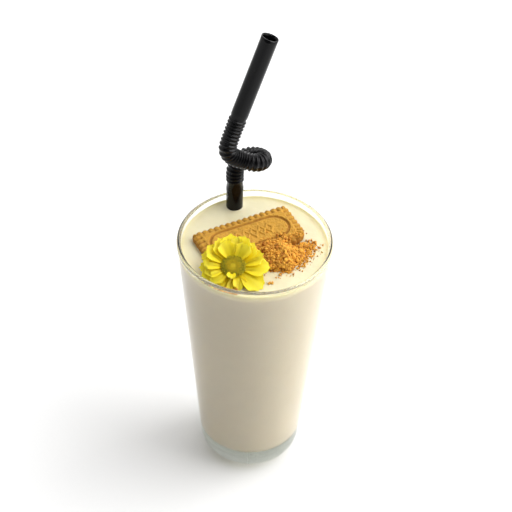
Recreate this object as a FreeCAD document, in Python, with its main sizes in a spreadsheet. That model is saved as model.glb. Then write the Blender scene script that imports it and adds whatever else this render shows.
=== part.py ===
import FreeCAD, Part
import math
import os
import Sketcher
from FreeCAD import Placement, Rotation, Vector

# A milkshake in a tapered tumbler, with a looped bendy straw, a fluted biscuit, a yellow
# flower and a heap of biscuit crumbs. Millimetres; +Z up from the table, -Y to the front.

doc = FreeCAD.newDocument("milkshake")
sheet = doc.addObject("Spreadsheet::Sheet", "sizes")

SIZES = (
    # Tumbler
    ("glass_height", 174.0),
    ("rim_diameter", 93.0),
    ("foot_diameter", 62.0),
    ("glass_wall", 2.5),
    ("floor_thickness", 16.5),
    ("heel_round", 11.0),
    ("floor_round", 6.0),
    ("lip_round", 1.15),
    # Milkshake
    ("rim_to_milk", 5.0),
    # Straw
    ("straw_diameter", 10.2),
    ("straw_wall", 0.5),
    ("straw_left", 13.1),
    ("straw_back", 35.2),
    ("straw_lean", 7.0),
    ("straw_floor_gap", 0.4),
    ("plain_above_rim", 13.4),
    ("flex_crest_diameter", 10.9),
    ("flex_root_diameter", 9.3),
    ("flex_pitch", 2.2),
    ("loop_reach", 9.0),
    ("loop_depth", 7.6),
    ("loop_right", 7.5),
    ("loop_front", 3.9),
    ("loop_start_rise", 15.3),
    ("loop_rise", 9.7),
    ("loop_turn", 218.0),
    ("mouthpiece_length", 54.0),
    ("mouthpiece_left", 11.8),
    ("mouthpiece_back", 30.4),
    ("mouthpiece_rise", 52.7),
    ("mouthpiece_side_lean", 18.6),
    ("mouthpiece_back_lean", 11.0),
    ("bend_low_drop", 19.6),
    ("bend_low_right", 0.6),
    ("bend_low_front", 2.8),
    ("bend_high_drop", 12.9),
    ("bend_high_left", 0.3),
    ("bend_high_front", 2.2),
    # Biscuit
    ("biscuit_length", 62.5),
    ("biscuit_width", 31.0),
    ("biscuit_thickness", 5.8),
    ("biscuit_sunk", 0.8),
    ("biscuit_turn", 27.9),
    ("biscuit_left", 3.0),
    ("biscuit_back", 5.0),
    ("biscuit_corner", 3.2),
    ("worn_corner", 8.5),
    ("flutes_long", 17.0),
    ("flutes_short", 8.0),
    ("flute_bulge", 0.7),
    ("flute_depth", 1.2),
    ("flute_length", 3.6),
    ("border_width", 5.6),
    ("border_step", 0.9),
    ("panel_groove", 1.1),
    ("panel_groove_depth", 0.8),
    ("lozenge_count", 6.0),
    ("lozenge_length", 5.4),
    ("lozenge_width", 9.0),
    ("lozenge_height", 0.5),
    # Flower
    ("flower_left", 13.4),
    ("flower_front", 24.5),
    ("flower_above_milk", 3.7),
    ("flower_tilt", 14.0),
    ("flower_lopsided", 0.25),
    ("flower_long_side", 70.0),
    ("disc_diameter", 13.0),
    ("disc_height", 3.6),
    ("disc_dome", 1.6),
    ("calyx_diameter", 7.0),
    ("calyx_depth", 2.88),
    ("petal_thickness", 0.55),
    ("petal_root_overlap", 2.0),
    ("petal_curl", 0.3),
    ("petal_droop", 0.18),
    ("outer_petals", 9.0),
    ("outer_petal_length", 14.0),
    ("outer_petal_width", 8.6),
    ("outer_petal_root", 0.1),
    ("outer_petal_rise", 14.0),
    ("middle_petals", 7.0),
    ("middle_petal_length", 12.6),
    ("middle_petal_width", 8.0),
    ("middle_petal_root", 1.1),
    ("middle_petal_rise", 32.0),
    ("inner_petals", 5.0),
    ("inner_petal_length", 8.6),
    ("inner_petal_width", 6.4),
    ("inner_petal_root", 2.2),
    ("inner_petal_rise", 40.0),
    # Crumb heap
    ("heap_right", 16.0),
    ("heap_front", 10.4),
    ("heap_length", 30.0),
    ("heap_width", 22.0),
    ("heap_height", 8.2),
    ("heap_turn", 14.0),
    ("heap_unevenness", 0.07),
)

# How finely curved pieces are divided
LOOP_STEPS = 4
PETAL_STATIONS = 7
HEAP_SECTIONS = 6
HEAP_POINTS = 40
# Arc of a sine wave that a petal's width follows from root to tip, as shares of half a turn
PETAL_ROOT_ARC = 0.12
PETAL_ARC = 0.70
PETAL_FULLNESS = 0.8
# How the heap draws in: the share of a quarter turn it rounds over, and how steep its foot is
HEAP_ROUND_DEG = 80.0
HEAP_STEEPNESS = 0.75
# Lobes of the heap's outline: how many, how strong, and where they start in radians
HEAP_LOBES = ((3, 1.0, 0.6), (5, 0.7, 2.1), (8, 0.5, 0.0))


def fill_sheet():
    """Write each driving size with its alias."""
    for row, (name, number) in enumerate(SIZES, start=1):
        sheet.set("A%d" % row, name)
        sheet.set("B%d" % row, str(number))
        sheet.setAlias("B%d" % row, name)
    doc.recompute()


def size(name):
    """A driving size as a plain number."""
    return float(sheet.get(name))


def bound(sketch, index, name, formula):
    """Name a sketch constraint and bind it to the sheet."""
    sketch.renameConstraint(index, name)
    sketch.setExpression("Constraints." + name, formula)


def origin_part(body, role):
    """The origin plane or axis of a body that has the given role."""
    for feature in body.Origin.OriginFeatures:
        if feature.Role == role:
            return feature
    raise RuntimeError("no origin feature " + role)


def level():
    """Height of the milkshake's surface."""
    return size("glass_height") - size("rim_to_milk")


def line(sketch, start, end):
    """Add a straight line to a sketch and return its index."""
    first = Vector(start[0], start[1], 0)
    last = Vector(end[0], end[1], 0)
    return sketch.addGeometry(Part.LineSegment(first, last), False)


def profile_sketch(body, name, corners):
    """A closed outline of straight lines on the body's XZ plane."""
    sketch = body.newObject("Sketcher::SketchObject", name)
    sketch.AttachmentSupport = (origin_part(body, "XZ_Plane"), [""])
    sketch.MapMode = "FlatFace"
    count = len(corners)
    for index in range(count):
        line(sketch, corners[index], corners[(index + 1) % count])
    for index in range(count):
        joint = Sketcher.Constraint("Coincident", index, 2, (index + 1) % count, 1)
        sketch.addConstraint(joint)
    return sketch


def revolved(body, sketch, name):
    """Turn a profile once round the body's upright axis."""
    turned = body.newObject("PartDesign::Revolution", name)
    turned.Profile = sketch
    turned.ReferenceAxis = (sketch, ["V_Axis"])
    turned.Angle = 360.0
    sketch.Visibility = False
    doc.recompute()
    return turned


def ring_edges(shape, radius, height):
    """Names of the circular edges that have this radius at this height."""
    names = []
    for index, edge in enumerate(shape.Edges, start=1):
        curve = edge.Curve
        if not isinstance(curve, Part.Circle):
            continue
        if abs(curve.Radius - radius) < 0.01 and abs(curve.Center.z - height) < 0.01:
            names.append("Edge%d" % index)
    return names


def rounded(body, base, name, edges, size_name):
    """Round the named edges by a size from the sheet."""
    fillet = body.newObject("PartDesign::Fillet", name)
    fillet.Base = (base, edges)
    fillet.setExpression("Radius", "sizes." + size_name)
    doc.recompute()
    return fillet


def wall_radius(height):
    """Outer radius of the tumbler's straight wall at a height."""
    foot = size("foot_diameter") / 2
    rim = size("rim_diameter") / 2
    return foot + (rim - foot) * height / size("glass_height")


def make_glass():
    """Tapered tumbler with a thick rounded base and a round lip."""
    body = doc.addObject("PartDesign::Body", "glass")
    foot = size("foot_diameter") / 2
    rim = size("rim_diameter") / 2
    top = size("glass_height")
    wall = size("glass_wall")
    floor = size("floor_thickness")
    inner_foot = wall_radius(floor) - wall
    corners = ((0, 0), (foot, 0), (rim, top), (rim - wall, top), (inner_foot, floor), (0, floor))
    sketch = profile_sketch(body, "glass_profile", corners)
    sketch.addConstraint(Sketcher.Constraint("Coincident", 0, 1, -1, 1))
    sketch.addConstraint(Sketcher.Constraint("Horizontal", 0))
    sketch.addConstraint(Sketcher.Constraint("Horizontal", 2))
    sketch.addConstraint(Sketcher.Constraint("Horizontal", 4))
    sketch.addConstraint(Sketcher.Constraint("Vertical", 5))
    sketch.addConstraint(Sketcher.Constraint("Parallel", 1, 3))
    index = sketch.addConstraint(Sketcher.Constraint("DistanceX", 0, 1, 0, 2, foot))
    bound(sketch, index, "foot", "sizes.foot_diameter / 2")
    index = sketch.addConstraint(Sketcher.Constraint("DistanceX", 0, 1, 1, 2, rim))
    bound(sketch, index, "rim", "sizes.rim_diameter / 2")
    index = sketch.addConstraint(Sketcher.Constraint("DistanceY", 0, 1, 1, 2, top))
    bound(sketch, index, "top", "sizes.glass_height")
    index = sketch.addConstraint(Sketcher.Constraint("DistanceX", 2, 2, 2, 1, wall))
    bound(sketch, index, "wall", "sizes.glass_wall")
    index = sketch.addConstraint(Sketcher.Constraint("DistanceY", 0, 1, 4, 2, floor))
    bound(sketch, index, "floor", "sizes.floor_thickness")
    doc.recompute()
    blank = revolved(body, sketch, "glass_turned")
    heel = rounded(body, blank, "glass_heel", ring_edges(blank.Shape, foot, 0), "heel_round")
    inside = ring_edges(heel.Shape, inner_foot, floor)
    floor_corner = rounded(body, heel, "glass_floor_corner", inside, "floor_round")
    lip = ring_edges(floor_corner.Shape, rim, top)
    lip += ring_edges(floor_corner.Shape, rim - wall, top)
    body.Tip = rounded(body, floor_corner, "glass_lip", lip, "lip_round")
    return body


def make_milk_fill():
    """Everything inside the tumbler up to the milkshake's surface."""
    body = doc.addObject("PartDesign::Body", "milk_fill")
    floor = size("floor_thickness")
    wall = size("glass_wall")
    inner_foot = wall_radius(floor) - wall
    inner_top = wall_radius(level()) - wall
    corners = ((0, floor), (inner_foot, floor), (inner_top, level()), (0, level()))
    sketch = profile_sketch(body, "milk_profile", corners)
    sketch.addConstraint(Sketcher.Constraint("PointOnObject", 0, 1, -2))
    sketch.addConstraint(Sketcher.Constraint("Horizontal", 0))
    sketch.addConstraint(Sketcher.Constraint("Horizontal", 2))
    sketch.addConstraint(Sketcher.Constraint("Vertical", 3))
    index = sketch.addConstraint(Sketcher.Constraint("DistanceY", -1, 1, 0, 1, floor))
    bound(sketch, index, "floor", "sizes.floor_thickness")
    index = sketch.addConstraint(Sketcher.Constraint("DistanceY", -1, 1, 1, 2, level()))
    bound(sketch, index, "surface", "sizes.glass_height - sizes.rim_to_milk")
    taper = "(sizes.rim_diameter - sizes.foot_diameter) / 2 / sizes.glass_height"
    index = sketch.addConstraint(Sketcher.Constraint("DistanceX", 0, 1, 0, 2, inner_foot))
    bound(sketch, index, "floor_radius",
          "sizes.foot_diameter / 2 + %s * sizes.floor_thickness - sizes.glass_wall" % taper)
    index = sketch.addConstraint(Sketcher.Constraint("DistanceX", 2, 2, 2, 1, inner_top))
    bound(sketch, index, "surface_radius",
          "sizes.rim_diameter / 2 - %s * sizes.rim_to_milk - sizes.glass_wall" % taper)
    doc.recompute()
    blank = revolved(body, sketch, "milk_turned")
    corner = ring_edges(blank.Shape, inner_foot, floor)
    body.Tip = rounded(body, blank, "milk_floor_corner", corner, "floor_round")
    return body


def straw_axis():
    """Direction of the straw's lower leg, up and leaning to the back."""
    lean = math.radians(size("straw_lean"))
    return Vector(0, math.sin(lean), math.cos(lean))


def straw_point(height):
    """Centre of the straw's lower leg at a height."""
    axis = straw_axis()
    entry = Vector(-size("straw_left"), size("straw_back"), level())
    return entry + axis * ((height - level()) / axis.z)


def straw_ends():
    """Lower end of the straw, the start of its flex, and its mouthpiece's two ends."""
    axis = straw_axis()
    lift = size("straw_diameter") / 2 * axis.y
    low = straw_point(size("floor_thickness") + size("straw_floor_gap") + lift)
    flex_start = straw_point(size("glass_height") + size("plain_above_rim"))
    side = math.tan(math.radians(size("mouthpiece_side_lean")))
    back = math.tan(math.radians(size("mouthpiece_back_lean")))
    along = Vector(side, back, 1).normalize()
    flex_end = Vector(-size("mouthpiece_left"), size("mouthpiece_back"),
                      flex_start.z + size("mouthpiece_rise"))
    high = flex_end + along * size("mouthpiece_length")
    return low, flex_start, flex_end, high


def flex_curve():
    """Centre line of the flex: up, most of a turn of a flattened helix, then up again."""
    low, start, end, high = straw_ends()
    centre_x = -size("straw_left") + size("loop_right")
    centre_y = start.y - size("loop_front")
    turn = math.radians(size("loop_turn"))
    points = [start, start + straw_axis() * size("loop_start_rise") / 2]
    for step in range(LOOP_STEPS + 1):
        share = step / LOOP_STEPS
        angle = turn * (0.5 - share)
        points.append(Vector(
            centre_x + size("loop_reach") * math.cos(angle),
            centre_y + size("loop_depth") * math.sin(angle),
            start.z + size("loop_start_rise") + size("loop_rise") * share))
    along = (high - end).normalize()
    points.append(end - along * size("bend_low_drop")
                  + Vector(size("bend_low_right"), -size("bend_low_front"), 0))
    points.append(end - along * size("bend_high_drop")
                  + Vector(-size("bend_high_left"), -size("bend_high_front"), 0))
    points.append(end)
    curve = Part.BSplineCurve()
    curve.interpolate(Points=points, InitialTangent=straw_axis(), FinalTangent=along)
    return curve


def ring(centre, frame_x, axis, radius):
    """A circle round an axis whose seam points along frame_x."""
    placement = Placement(centre, Rotation(frame_x, axis.cross(frame_x), axis, "ZXY"))
    circle = Part.Circle(Vector(0, 0, 0), Vector(0, 0, 1), radius)
    edge = circle.toShape()
    edge.Placement = placement
    return Part.Wire([edge])


def straw_rings():
    """Places along the straw: centre, seam direction, axis and whether it is a rib's crest."""
    low, start, end, high = straw_ends()
    curve = flex_curve()
    length = curve.length()
    ribs = int(round(length / size("flex_pitch")))
    places = [(low, straw_axis(), None)]
    places.append((start, straw_axis(), None))
    for step in range(1, 2 * ribs):
        at = curve.parameterAtDistance(length * step / (2 * ribs), curve.FirstParameter)
        tangent = Vector(*curve.tangent(at)[0]).normalize()
        places.append((curve.value(at), tangent, step % 2 == 1))
    along = (high - end).normalize()
    places.append((end, along, None))
    places.append((high, along, None))
    seam = Vector(1, 0, 0)
    rings = []
    for centre, axis, crest in places:
        seam = (seam - axis * seam.dot(axis)).normalize()
        rings.append((centre, seam, axis, crest))
    return rings


def straw_wires(inset):
    """The straw's rings in order, all radii less by the inset."""
    wires = []
    for centre, seam, axis, crest in straw_rings():
        diameter = size("straw_diameter")
        if crest is not None:
            diameter = size("flex_crest_diameter") if crest else size("flex_root_diameter")
        wires.append(ring(centre, seam, axis, diameter / 2 - inset))
    return wires


def flat_ring(outside, inside):
    """Flat face between two closed outlines in one plane."""
    return Part.makeFace([outside, inside], "Part::FaceMakerBullseye")


def make_straw():
    """One hollow tube: lower leg, corrugated loop and mouthpiece."""
    outside = straw_wires(0)
    inside = straw_wires(size("straw_wall"))
    faces = Part.makeLoft(outside, False, True).Faces
    faces += Part.makeLoft(inside, False, True).Faces
    faces.append(flat_ring(outside[0], inside[0]))
    faces.append(flat_ring(outside[-1], inside[-1]))
    skin = Part.makeCompound(faces)
    skin.sewShape(0.0001)
    tube = Part.Solid(skin.Shells[0])
    if tube.Volume < 0:
        tube.reverse()
    feature = doc.addObject("Part::Feature", "straw")
    feature.Shape = tube
    feature.Placement = Placement()
    return feature


def leg_cylinder(name, diameter_formula):
    """A cylinder along the lower leg, for the space that the straw takes in the milk."""
    low, start, end, high = straw_ends()
    cylinder = doc.addObject("Part::Cylinder", name)
    cylinder.setExpression("Radius", diameter_formula)
    cylinder.Height = (start - low).Length
    cylinder.Placement = Placement(low, Rotation(Vector(0, 0, 1), straw_axis()))
    return cylinder


def make_milkshake(biscuit):
    """The fill less the straw's wall and the sunk part of the biscuit."""
    fill = make_milk_fill()
    outer = leg_cylinder("straw_outside", "sizes.straw_diameter / 2")
    inner = leg_cylinder("straw_bore", "sizes.straw_diameter / 2 - sizes.straw_wall")
    wall = doc.addObject("Part::Cut", "straw_wall_space")
    wall.Base = outer
    wall.Tool = inner
    around_straw = doc.addObject("Part::Cut", "milk_round_straw")
    around_straw.Base = fill
    around_straw.Tool = wall
    milk = doc.addObject("Part::Cut", "milkshake")
    milk.Base = around_straw
    milk.Tool = biscuit
    doc.recompute()
    return milk


def fluted_outline(length, width):
    """Closed outline of outward arcs that meet at small notches."""
    bulge = size("flute_bulge")
    half_x = length / 2 - bulge
    half_y = width / 2 - bulge
    corners = ((-half_x, -half_y), (half_x, -half_y), (half_x, half_y), (-half_x, half_y))
    edges = []
    for side in range(4):
        start = Vector(*corners[side], 0)
        end = Vector(*corners[(side + 1) % 4], 0)
        count = int(size("flutes_long") if side % 2 == 0 else size("flutes_short"))
        step = (end - start) / count
        outward = Vector(step.y, -step.x, 0).normalize() * bulge
        for index in range(count):
            first = start + step * index
            middle = first + step / 2 + outward
            edges.append(Part.Arc(first, middle, first + step).toShape())
    return Part.Wire(edges)


def upright_edges(block, place, reach):
    """The upright straight edges of a block, those near a place and then the others."""
    edges = [edge for edge in block.Edges if isinstance(edge.Curve, Part.Line)
             and abs(edge.tangentAt(edge.FirstParameter).z) > 0.9]
    near = [edge for edge in edges if edge.CenterOfMass.distanceToPoint(place) < reach]
    far = [edge for edge in edges if edge.CenterOfMass.distanceToPoint(place) >= reach]
    return near, far


def corner_block(length, width, height):
    """Block that trims the fluted outline: three round corners and one worn well away."""
    block = Part.makeBox(length, width, height, Vector(-length / 2, -width / 2, 0))
    worn_place = Vector(length / 2, -width / 2, height / 2)
    worn, _ = upright_edges(block, worn_place, width / 2)
    block = block.makeFillet(size("worn_corner"), worn)
    _, sound = upright_edges(block, worn_place, width / 2)
    return block.makeFillet(size("biscuit_corner"), sound)


def flute_cuts():
    """Round-bottomed notches that run in from the biscuit's edge, deeper at the edge."""
    top = size("biscuit_thickness") - size("border_step")
    depth = size("flute_depth")
    reach = size("flute_length")
    bulge = size("flute_bulge")
    half_x = size("biscuit_length") / 2 - bulge
    half_y = size("biscuit_width") / 2 - bulge
    corners = ((-half_x, -half_y), (half_x, -half_y), (half_x, half_y), (-half_x, half_y))
    cuts = []
    for side in range(4):
        start = Vector(*corners[side], 0)
        end = Vector(*corners[(side + 1) % 4], 0)
        count = int(size("flutes_long") if side % 2 == 0 else size("flutes_short"))
        step = (end - start) / count
        inward = Vector(-step.y, step.x, 0).normalize()
        for index in range(1, count):
            edge_point = start + step * index - inward * bulge * 2
            low = edge_point + Vector(0, 0, top)
            rise = inward * (reach + 2 * bulge) + Vector(0, 0, depth)
            cuts.append(Part.makeCone(depth, depth / 4, rise.Length, low, rise.normalize()))
    return Part.makeCompound(cuts)


def stadium(length, width, height):
    """Outline of a strip with round ends at a height."""
    radius = width / 2
    straight = length / 2 - radius
    a = Vector(-straight, -radius, height)
    b = Vector(straight, -radius, height)
    c = Vector(straight + radius, 0, height)
    d = Vector(straight, radius, height)
    e = Vector(-straight, radius, height)
    f = Vector(-straight - radius, 0, height)
    edges = (Part.makeLine(a, b), Part.Arc(b, c, d).toShape(),
             Part.makeLine(d, e), Part.Arc(e, f, a).toShape())
    return Part.Wire(edges)


def make_biscuit():
    """Fluted oblong biscuit with a grooved panel and a row of raised lozenges."""
    length = size("biscuit_length")
    width = size("biscuit_width")
    thickness = size("biscuit_thickness")
    border = size("border_width")
    step = size("border_step")
    slab_face = Part.Face(fluted_outline(length, width))
    slab = slab_face.extrude(Vector(0, 0, thickness - step))
    slab = slab.common(corner_block(length, width, thickness - step))
    panel_length = length - 2 * border
    panel_width = width - 2 * border
    low = stadium(panel_length + 2 * step, panel_width + 2 * step, thickness - step)
    high = stadium(panel_length, panel_width, thickness)
    body = slab.fuse(Part.makeLoft([low, high], True, True)).cut(flute_cuts())
    groove_width = size("panel_groove")
    groove_floor = thickness - size("panel_groove_depth")
    ring_out = stadium(panel_length - 2 * step, panel_width - 2 * step, groove_floor)
    ring_in = stadium(panel_length - 2 * (step + groove_width),
                      panel_width - 2 * (step + groove_width), groove_floor)
    groove = flat_ring(ring_out, ring_in).extrude(Vector(0, 0, thickness))
    body = body.cut(groove)
    count = int(size("lozenge_count"))
    room = panel_length - panel_width
    raised = []
    for index in range(count):
        x = room * (index / (count - 1) - 0.5)
        half_x = size("lozenge_length") / 2
        half_y = size("lozenge_width") / 2
        sunk = thickness - size("panel_groove_depth") / 2
        points = (Vector(x - half_x, 0, sunk), Vector(x, -half_y, sunk),
                  Vector(x + half_x, 0, sunk), Vector(x, half_y, sunk),
                  Vector(x - half_x, 0, sunk))
        face = Part.Face(Part.makePolygon(points))
        raised.append(face.extrude(Vector(0, 0, thickness + size("lozenge_height") - sunk)))
    feature = doc.addObject("Part::Feature", "biscuit")
    feature.Shape = body.multiFuse(raised).removeSplitter()
    feature.Placement = Placement(
        Vector(-size("biscuit_left"), size("biscuit_back"), level() - size("biscuit_sunk")),
        Rotation(Vector(0, 0, 1), size("biscuit_turn")))
    return feature


def petal(length, width, root_height, rise, curl):
    """One petal along +X: a curved blade, widest past its middle.

    rise is the angle at which it leaves the disc, and curl how far its sides lift, as a
    share of its half width.
    """
    thick = size("petal_thickness")
    root = size("disc_diameter") / 2 - size("petal_root_overlap")
    sections = []
    for index in range(PETAL_STATIONS):
        share = index / (PETAL_STATIONS - 1)
        arc = math.sin(math.pi * (PETAL_ROOT_ARC + PETAL_ARC * share))
        half = width / 2 * arc ** PETAL_FULLNESS
        along = root + length * share
        droop = size("petal_droop") * share * share
        lift = root_height + length * (math.tan(rise) * share - droop)
        side_lift = curl * half
        loop = (Vector(along, -half, lift + side_lift),
                Vector(along, -half / 2, lift + side_lift / 4),
                Vector(along, 0, lift + thick / 3),
                Vector(along, half / 2, lift + side_lift / 4),
                Vector(along, half, lift + side_lift),
                Vector(along, half / 2, lift + side_lift / 4 + thick),
                Vector(along, 0, lift + thick),
                Vector(along, -half / 2, lift + side_lift / 4 + thick))
        sections.append(Part.makePolygon(loop + (loop[0],)))
    return Part.makeLoft(sections, True, True)


def petal_ring(kind, phase):
    """Petals in a circle, each a little different, and longer on the flower's long side."""
    count = int(size(kind + "_petals"))
    length = size(kind + "_petal_length")
    width = size(kind + "_petal_width")
    petals = []
    for index in range(count):
        wave = math.sin(index * 2.4 + phase)
        other = math.cos(index * 3.7 + phase)
        turn = 360.0 * index / count + math.degrees(phase) + 3 * wave
        off_side = math.radians(turn - size("flower_long_side"))
        side = 1 + size("flower_lopsided") * math.cos(off_side)
        rise = math.radians(size(kind + "_petal_rise") * (1 + 0.12 * other))
        blade = petal(length * side * (1 + 0.04 * wave), width * (1 + 0.06 * other),
                      size(kind + "_petal_root"), rise, size("petal_curl") * (1 + 0.25 * wave))
        blade.rotate(Vector(0, 0, 0), Vector(0, 0, 1), turn)
        petals.append(blade)
    return petals


def make_flower():
    """Daisy-like flower: domed disc, small calyx and three rings of petals."""
    disc = size("disc_diameter") / 2
    height = size("disc_height")
    calyx = size("calyx_diameter") / 2
    depth = size("calyx_depth")
    dome = size("disc_dome")
    core = Part.makeCone(calyx, disc, depth, Vector(0, 0, -depth))
    core = core.fuse(Part.makeCylinder(disc, height))
    dome_radius = (disc * disc + dome * dome) / (2 * dome)
    ball = Part.makeSphere(dome_radius, Vector(0, 0, height + dome - dome_radius))
    column = Part.makeCylinder(disc, 2 * dome, Vector(0, 0, height))
    core = core.fuse(ball.common(column))
    petals = petal_ring("outer", 0.2) + petal_ring("middle", 0.5) + petal_ring("inner", 0.9)
    feature = doc.addObject("Part::Feature", "flower")
    feature.Shape = core.multiFuse(petals)
    feature.Placement = Placement(
        Vector(-size("flower_left"), -size("flower_front"), level() + size("flower_above_milk")),
        Rotation(Vector(1, 0, 0), size("flower_tilt")))
    return feature


def heap_section(scale, height):
    """Closed smooth outline of the heap, uneven by a sum of sines."""
    half_x = size("heap_length") / 2 * scale
    half_y = size("heap_width") / 2 * scale
    points = []
    for index in range(HEAP_POINTS):
        angle = 2 * math.pi * index / HEAP_POINTS
        wobble = sum(strength * math.sin(lobes * angle + start)
                     for lobes, strength, start in HEAP_LOBES)
        reach = 1 + size("heap_unevenness") * wobble
        points.append(Vector(half_x * reach * math.cos(angle),
                             half_y * reach * math.sin(angle), height))
    curve = Part.BSplineCurve()
    curve.interpolate(Points=points, PeriodicFlag=True)
    return Part.Wire([curve.toShape()])


def make_crumb_heap(biscuit):
    """Low mound of crumbs on the milkshake and over the biscuit's front edge."""
    sections = []
    for index in range(HEAP_SECTIONS):
        share = index / (HEAP_SECTIONS - 1)
        scale = math.cos(math.radians(HEAP_ROUND_DEG) * share) ** HEAP_STEEPNESS
        sections.append(heap_section(scale, size("heap_height") * share))
    mound = doc.addObject("Part::Feature", "crumb_mound")
    mound.Shape = Part.makeLoft(sections, True, False)
    mound.Placement = Placement(
        Vector(size("heap_right"), -size("heap_front"), level()),
        Rotation(Vector(0, 0, 1), size("heap_turn")))
    heap = doc.addObject("Part::Cut", "crumb_heap")
    heap.Base = mound
    heap.Tool = biscuit
    doc.recompute()
    return heap


def export(features):
    """Check every object of the document, then write one STEP file for each sub-part."""
    doc.recompute()
    for item in doc.Objects:
        if "Invalid" in item.State or "Error" in item.State:
            raise RuntimeError("failed: " + item.Name)
    os.makedirs("parts", exist_ok=True)
    for item in features:
        shape = item.Shape
        if shape.isNull() or not shape.isValid() or len(shape.Solids) != 1:
            raise RuntimeError("bad shape: %s has %d solids" % (item.Name, len(shape.Solids)))
        shape.exportStep("parts/%s.step" % item.Label)
        print(item.Label, "volume %.0f" % shape.Volume)


fill_sheet()
glass = make_glass()
straw = make_straw()
biscuit = make_biscuit()
milkshake = make_milkshake(biscuit)
flower = make_flower()
crumb_heap = make_crumb_heap(biscuit)
export((glass, milkshake, straw, biscuit, flower, crumb_heap))
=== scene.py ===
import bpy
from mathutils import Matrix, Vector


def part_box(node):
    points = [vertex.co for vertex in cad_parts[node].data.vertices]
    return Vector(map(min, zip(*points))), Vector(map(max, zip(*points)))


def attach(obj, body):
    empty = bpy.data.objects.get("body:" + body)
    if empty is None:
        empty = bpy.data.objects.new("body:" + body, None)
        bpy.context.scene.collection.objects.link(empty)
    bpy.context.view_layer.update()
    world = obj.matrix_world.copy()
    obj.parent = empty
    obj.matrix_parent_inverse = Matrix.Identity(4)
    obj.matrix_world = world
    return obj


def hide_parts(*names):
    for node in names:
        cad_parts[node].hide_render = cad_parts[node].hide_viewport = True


bl_info = {
    "name": "Milkshake in a Tumbler",
    "version": (1, 0, 0),
    "blender": (4, 5, 0),
    "location": "3D View > Sidebar > Milkshake",
    "description": "Builds a milkshake with a looped straw, a biscuit, crumbs and a flower",
    "category": "Add Mesh",
}

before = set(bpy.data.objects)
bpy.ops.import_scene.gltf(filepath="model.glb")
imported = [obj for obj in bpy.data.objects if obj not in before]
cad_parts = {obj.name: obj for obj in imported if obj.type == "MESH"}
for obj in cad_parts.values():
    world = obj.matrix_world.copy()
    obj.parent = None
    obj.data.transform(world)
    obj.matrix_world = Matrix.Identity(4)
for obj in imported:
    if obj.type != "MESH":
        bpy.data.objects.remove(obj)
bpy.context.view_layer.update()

import math
import random

import bpy
import numpy as np
from bpy.props import FloatProperty, FloatVectorProperty, IntProperty, PointerProperty
from mathutils import Matrix, Vector, noise

GLASS_LOW, GLASS_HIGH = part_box("glass")
MILK_LOW, MILK_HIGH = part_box("milkshake")
STRAW_LOW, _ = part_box("straw")
BISCUIT_LOW, BISCUIT_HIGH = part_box("biscuit")

MM = 0.001

# Curves: points between two marks of a spline
SPLINE_STEPS = 60

# Drink: rings of its surface, and how soon it falls away from the glass and from the straw
SURFACE_RINGS = 110
CLIMB_REACH = 1.1 * MM
STRAW_CLIMB, STRAW_CLIMB_REACH = 0.6, 0.9 * MM

# Straw: rings along its plain ends, around its loop and along each rib
LOWER_RINGS = 40
UPPER_RINGS = 24
LOOP_MARKS = 4
RINGS_PER_RIB = 10
STRAW_SIDES = 56
# Where the upper bend passes beside the mouthpiece's line, at its low and its high point
BEND_LOW_SHIFT = Vector((0.6, -2.8, 0)) * MM
BEND_HIGH_SHIFT = Vector((-0.3, -2.2, 0)) * MM

# Biscuit: the mesh of its face and side, and its small reliefs
BISCUIT_COLUMNS, BISCUIT_ROWS, BISCUIT_DROPS = 320, 160, 12
BORDER_STEP = 0.3 * MM
EDGE_DROP, EDGE_WIDTH = 0.8 * MM, 2.0 * MM
GROOVE_INSET = 1.2 * MM
LOZENGE_HALF_LENGTH, LOZENGE_HALF_WIDTH = 3.1 * MM, 4.8 * MM

# Flower: the draws' seeds, a petal's mesh and its room to the glass, and the florets;
# a floret's rings are shares of its width and of its height
PETAL_SEED, FLORET_SEED = 11, 5
PETAL_ROWS, PETAL_COLUMNS = 22, 14
PETAL_THICKNESS = 0.28 * MM
PETAL_ROOM = 0.4 * MM
FLORET_SIDES = 7
FLORET_WIDTH, FLORET_HEIGHT = 0.42 * MM, 1.1 * MM
FLORET_RINGS = ((0.75, -0.2), (1.0, 0.55), (0.85, 0.9), (0.35, 0.82))

# Crumbs: the draws' seed, rings of the heap's core, shapes to draw from, the size above which
# a shape is finer, and a spilt crumb's room to the glass
CRUMB_SEED = 3
CORE_RINGS, CORE_SIDES = 26, 96
CRUMB_SHAPES = 24
FINE_CRUMB = 1.05 * MM
CRUMB_ROOM = 1.2 * MM

# Stage: the lights' places and widths, the floor, the way to the dark side of the room, and
# where its darkness starts and is full, as cosines of the angle to that way
KEY_PLACE, KEY_WIDTH = (1.46, 0.16, 1.54), 1.9
TOP_PLACE, TOP_WIDTH = (0.30, 0.35, 1.10), 0.70
FLOOR_HALF = 4.0
DARK_WAY = Vector((-0.15, -0.66, 0.74)).normalized()
DARK_FROM, DARK_FULL = 0.58, 0.88


# ---------------------------------------------------------------- settings


def length_setting(name, description, default, **limits):
    """A length in metres that a user can change."""
    return FloatProperty(
        name=name, description=description, default=default, unit="LENGTH", **limits)


def angle_setting(name, description, degrees):
    """An angle that a user can change, given here in degrees."""
    return FloatProperty(
        name=name, description=description, default=math.radians(degrees), unit="ROTATION")


def colour_setting(name, description, default):
    """A colour that a user can change."""
    return FloatVectorProperty(
        name=name, description=description, default=default, subtype="COLOR", min=0, max=1)


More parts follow.
